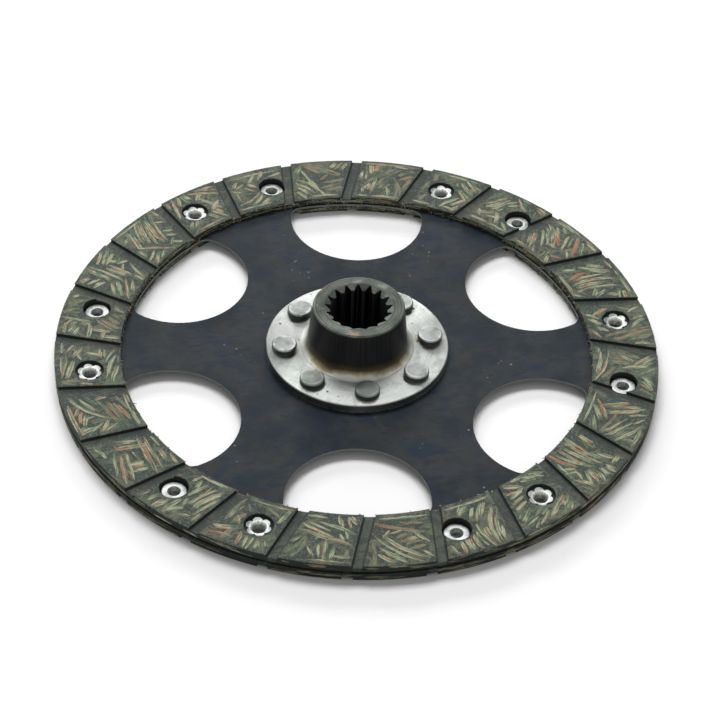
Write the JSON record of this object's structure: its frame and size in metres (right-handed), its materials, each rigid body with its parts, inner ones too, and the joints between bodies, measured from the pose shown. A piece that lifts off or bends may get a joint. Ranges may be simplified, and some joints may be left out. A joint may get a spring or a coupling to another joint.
{
  "type": "clutch disc",
  "caption": "Dry clutch driven disc: a thin steel plate between two grooved friction rings, riveted to a flanged hub with an internal spline.",
  "frame": {"origin": "on the disc's axis, on the friction face of the lower lining, which the disc rests on", "axes": "+Z along the axis, from the lower lining towards the boss of the hub; +X through the middle of a spoke of the plate"},
  "size_m": [0.18, 0.18, 0.0207],
  "materials": {
    "plate_steel": "dark phosphated sheet steel, slightly glossy",
    "hub_steel": "turned steel on the flange and the boss end, heat-darkened on the boss side",
    "friction_lining": "woven friction material, dull dark grey-green with paler strands",
    "hub_rivet_steel": "plain pressed steel, grey",
    "lining_rivet_steel": "bright zinc-plated steel"
  },
  "bodies": {
    "root": {"carrier_plate": "plate_steel", "splined_hub": "hub_steel", "upper_lining": "friction_lining", "lower_lining": "friction_lining", "hub_rivet_1": "hub_rivet_steel", "hub_rivet_2": "hub_rivet_steel", "hub_rivet_3": "hub_rivet_steel", "hub_rivet_4": "hub_rivet_steel", "hub_rivet_5": "hub_rivet_steel", "hub_rivet_6": "hub_rivet_steel", "hub_rivet_7": "hub_rivet_steel", "hub_rivet_8": "hub_rivet_steel", "upper_lining_rivet_1": "lining_rivet_steel", "upper_lining_rivet_2": "lining_rivet_steel", "upper_lining_rivet_3": "lining_rivet_steel", "upper_lining_rivet_4": "lining_rivet_steel", "upper_lining_rivet_5": "lining_rivet_steel", "upper_lining_rivet_6": "lining_rivet_steel", "lower_lining_rivet_1": "lining_rivet_steel", "lower_lining_rivet_2": "lining_rivet_steel", "lower_lining_rivet_3": "lining_rivet_steel", "lower_lining_rivet_4": "lining_rivet_steel", "lower_lining_rivet_5": "lining_rivet_steel", "lower_lining_rivet_6": "lining_rivet_steel"}
  },
  "joints": []
}
